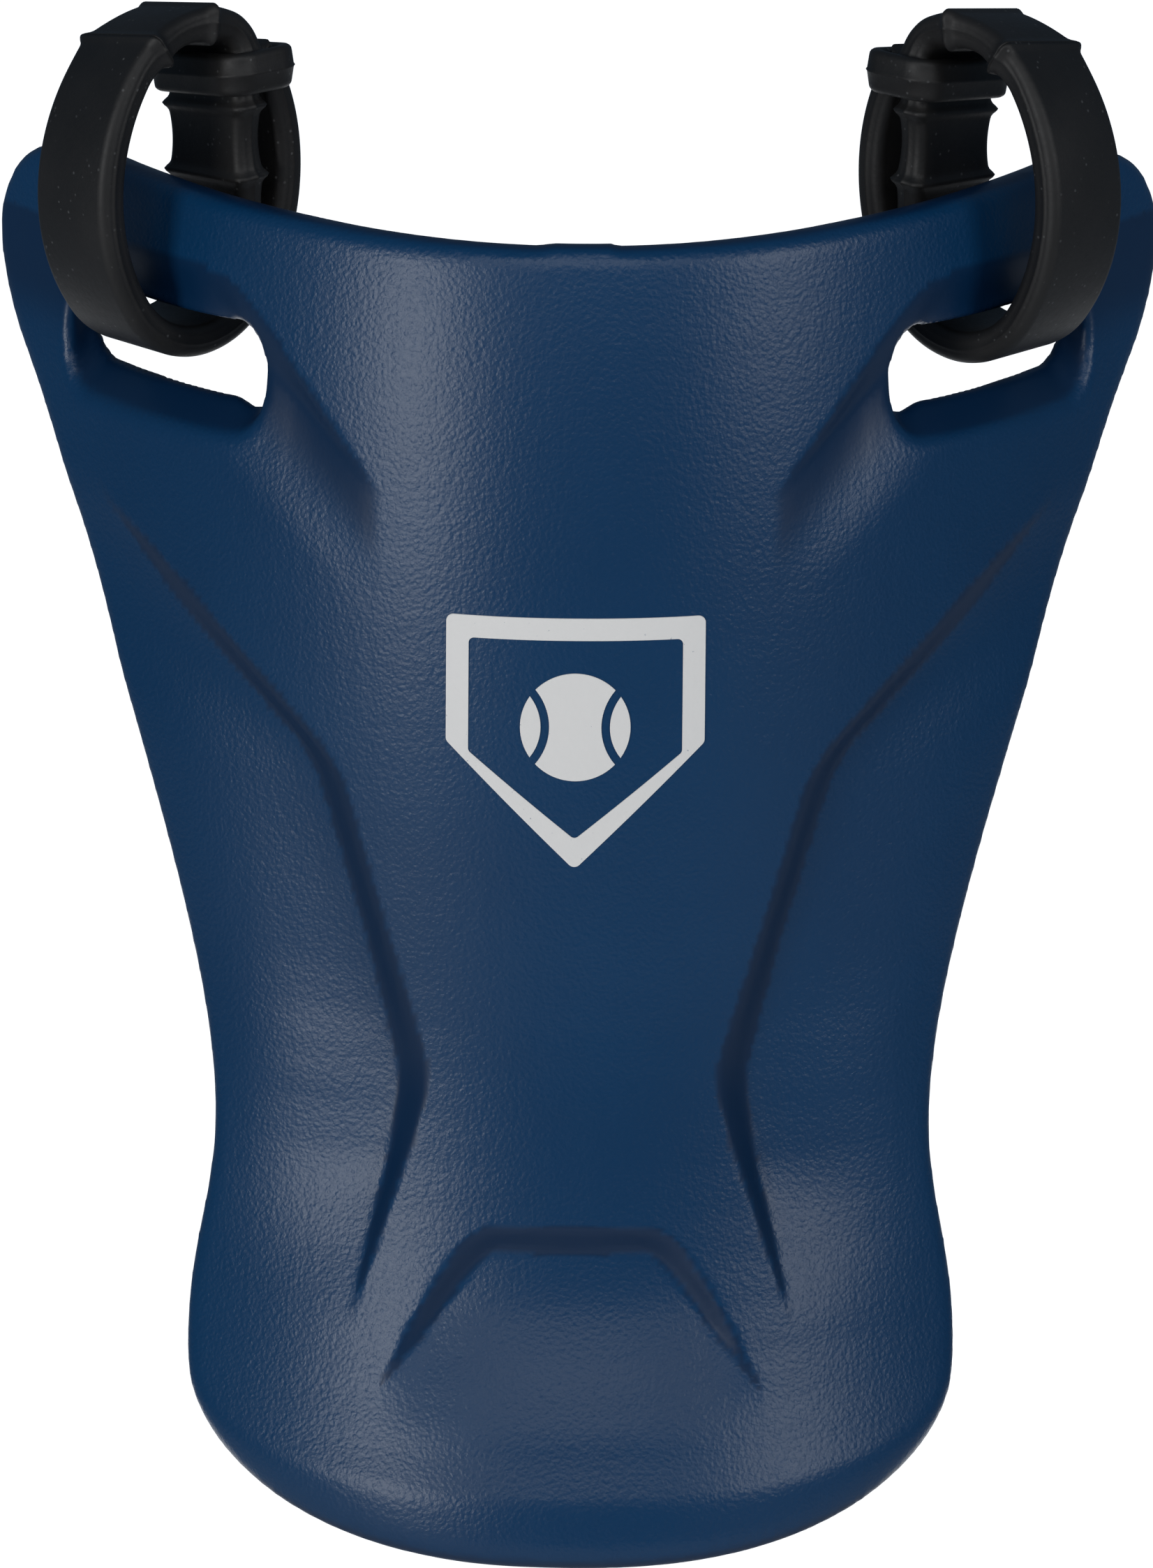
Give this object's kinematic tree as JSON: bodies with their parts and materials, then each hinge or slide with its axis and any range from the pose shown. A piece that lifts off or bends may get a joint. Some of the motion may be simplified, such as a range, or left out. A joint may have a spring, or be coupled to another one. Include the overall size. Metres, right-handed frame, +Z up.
{
  "type": "catcher's mask throat guard",
  "caption": "Swept-back moulded throat guard with a flared lip, hung from a catcher's mask by two looped rubber straps.",
  "frame": {"origin": "midway between the two strap loops, at the height of the mask's wire that they hold", "axes": "+Z up, -Y out of the guard's front face, +X to the right as seen from the front; symmetric about X = 0"},
  "size_m": [0.1372, 0.0733, 0.1759],
  "materials": {
    "guard": "leather grain, satin",
    "ink": "screen-printed ink, satin",
    "strap": "moulded, soft sheen"
  },
  "bodies": {
    "guard": {"guard_plate": "guard", "printed_mark": "ink"},
    "left_strap": {"left_strap_band": "strap", "left_strap_keeper": "strap", "left_strap_ribbed_tail": "strap"},
    "right_strap": {"right_strap_band": "strap", "right_strap_keeper": "strap", "right_strap_ribbed_tail": "strap"}
  },
  "joints": [
    {"name": "left_strap_swing", "type": "hinge", "parent": "guard", "child": "left_strap", "pos_m": [-0.04959, 0, -0.02555], "axis": [-0.6774, 0.7356, 0], "range_deg": [-8, 40]},
    {"name": "right_strap_swing", "type": "hinge", "parent": "guard", "child": "right_strap", "pos_m": [0.04959, 0, -0.02555], "axis": [-0.6774, -0.7356, 0], "range_deg": [-8, 40]}
  ]
}
